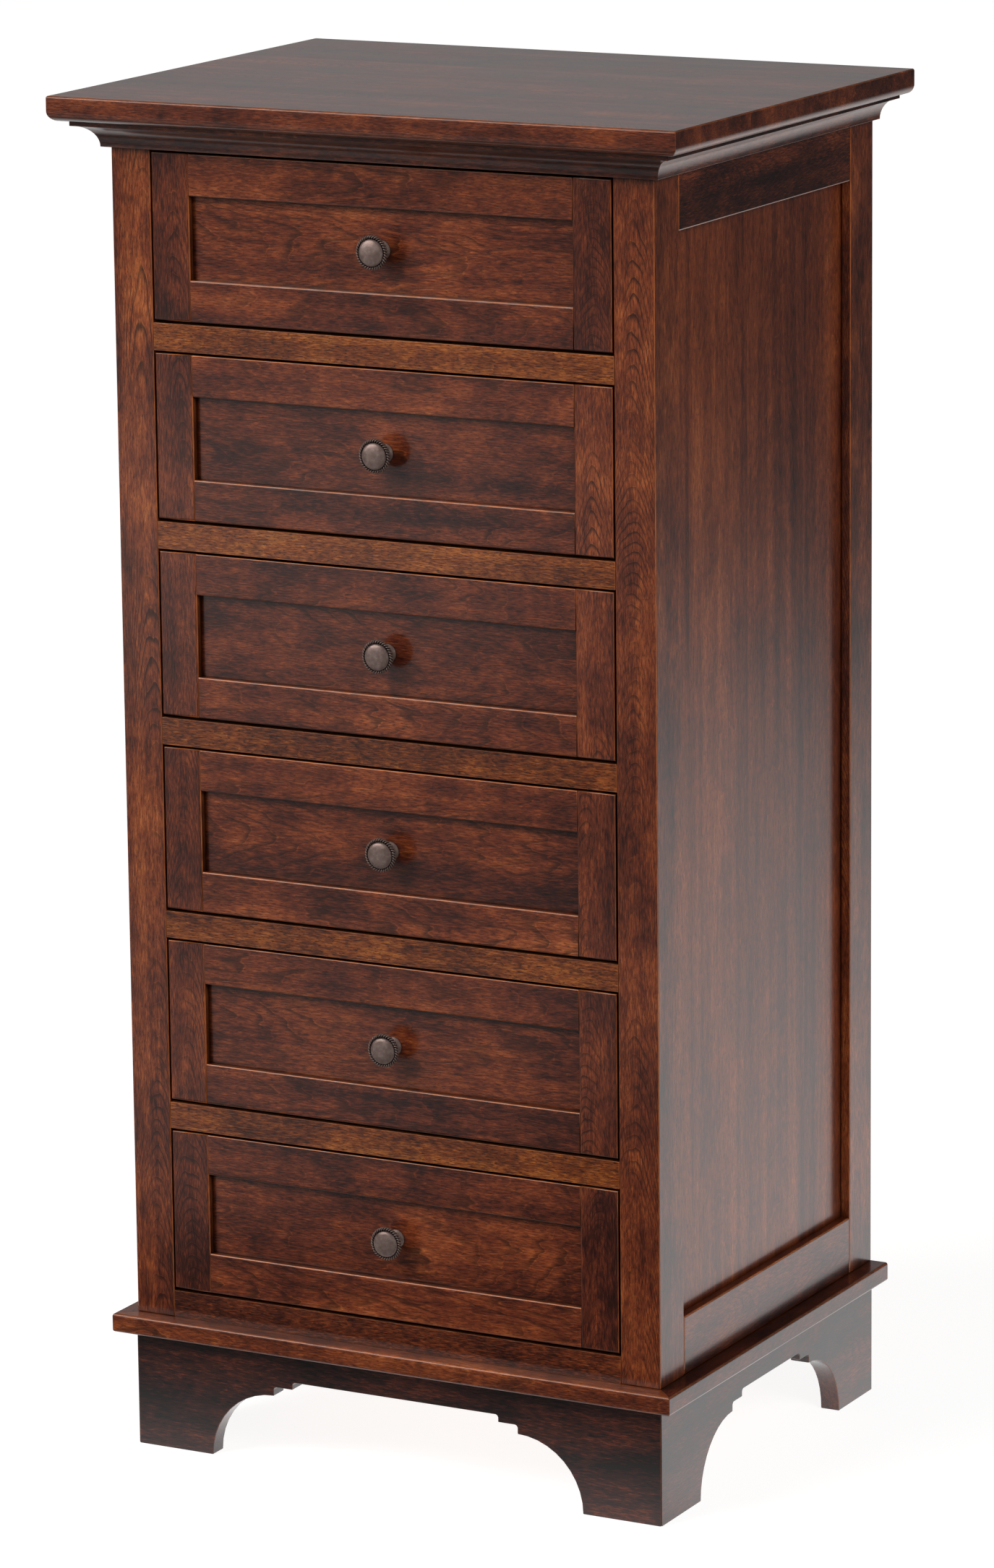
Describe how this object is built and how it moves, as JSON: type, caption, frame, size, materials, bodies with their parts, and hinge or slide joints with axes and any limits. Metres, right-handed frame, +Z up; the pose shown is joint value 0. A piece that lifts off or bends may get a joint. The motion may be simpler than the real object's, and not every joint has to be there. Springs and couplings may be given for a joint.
{
  "type": "jewelry chest of drawers",
  "caption": "Tall narrow wooden chest with inset frame-and-panel drawers on wooden runners, cove crown under a flat top, and a bracket-foot base.",
  "frame": {"origin": "centre of the bounding box's bottom face, on the floor", "axes": "+Z up, the drawer fronts face -Y, +X to the right of someone who faces the back from the front"},
  "size_m": [0.63, 0.49, 1.27],
  "materials": {
    "cherry": "dark red-brown stain under satin lacquer",
    "maple": "clear satin lacquer",
    "plywood": "thin clear sealer",
    "pewter": "antiqued brushed metal, darkened in the recesses"
  },
  "bodies": {
    "case": {"top_slab": "cherry", "crown_front": "cherry", "crown_left": "cherry", "crown_right": "cherry", "post_front_left": "cherry", "post_front_right": "cherry", "post_back_left": "cherry", "post_back_right": "cherry", "side_top_rail_left": "cherry", "side_top_rail_right": "cherry", "side_bottom_rail_left": "cherry", "side_bottom_rail_right": "cherry", "side_panel_left": "cherry", "side_panel_right": "cherry", "back_panel": "plywood", "top_frame": "cherry", "divider_frame_1": "cherry", "divider_frame_2": "cherry", "divider_frame_3": "cherry", "divider_frame_4": "cherry", "divider_frame_5": "cherry", "bottom_frame": "cherry", "base_moulding_front": "cherry", "base_moulding_left": "cherry", "base_moulding_right": "cherry", "base_board_front": "cherry", "base_board_left": "cherry", "base_board_right": "cherry", "base_board_back": "cherry"},
    "drawer_1": {"drawer_1_front_frame": "cherry", "drawer_1_front_panel": "cherry", "drawer_1_box": "maple", "drawer_1_bottom": "plywood", "drawer_1_knob": "pewter"},
    "drawer_2": {"drawer_2_front_frame": "cherry", "drawer_2_front_panel": "cherry", "drawer_2_box": "maple", "drawer_2_bottom": "plywood", "drawer_2_knob": "pewter"},
    "drawer_3": {"drawer_3_front_frame": "cherry", "drawer_3_front_panel": "cherry", "drawer_3_box": "maple", "drawer_3_bottom": "plywood", "drawer_3_knob": "pewter"},
    "drawer_4": {"drawer_4_front_frame": "cherry", "drawer_4_front_panel": "cherry", "drawer_4_box": "maple", "drawer_4_bottom": "plywood", "drawer_4_knob": "pewter"},
    "drawer_5": {"drawer_5_front_frame": "cherry", "drawer_5_front_panel": "cherry", "drawer_5_box": "maple", "drawer_5_bottom": "plywood", "drawer_5_knob": "pewter"},
    "drawer_6": {"drawer_6_front_frame": "cherry", "drawer_6_front_panel": "cherry", "drawer_6_box": "maple", "drawer_6_bottom": "plywood", "drawer_6_knob": "pewter"}
  },
  "joints": [
    {"name": "drawer_1_slide", "type": "slide", "parent": "case", "child": "drawer_1", "axis": [0, -1, 0], "range_m": [0, 0.3]},
    {"name": "drawer_2_slide", "type": "slide", "parent": "case", "child": "drawer_2", "axis": [0, -1, 0], "range_m": [0, 0.3]},
    {"name": "drawer_3_slide", "type": "slide", "parent": "case", "child": "drawer_3", "axis": [0, -1, 0], "range_m": [0, 0.3]},
    {"name": "drawer_4_slide", "type": "slide", "parent": "case", "child": "drawer_4", "axis": [0, -1, 0], "range_m": [0, 0.3]},
    {"name": "drawer_5_slide", "type": "slide", "parent": "case", "child": "drawer_5", "axis": [0, -1, 0], "range_m": [0, 0.3]},
    {"name": "drawer_6_slide", "type": "slide", "parent": "case", "child": "drawer_6", "axis": [0, -1, 0], "range_m": [0, 0.3]}
  ]
}
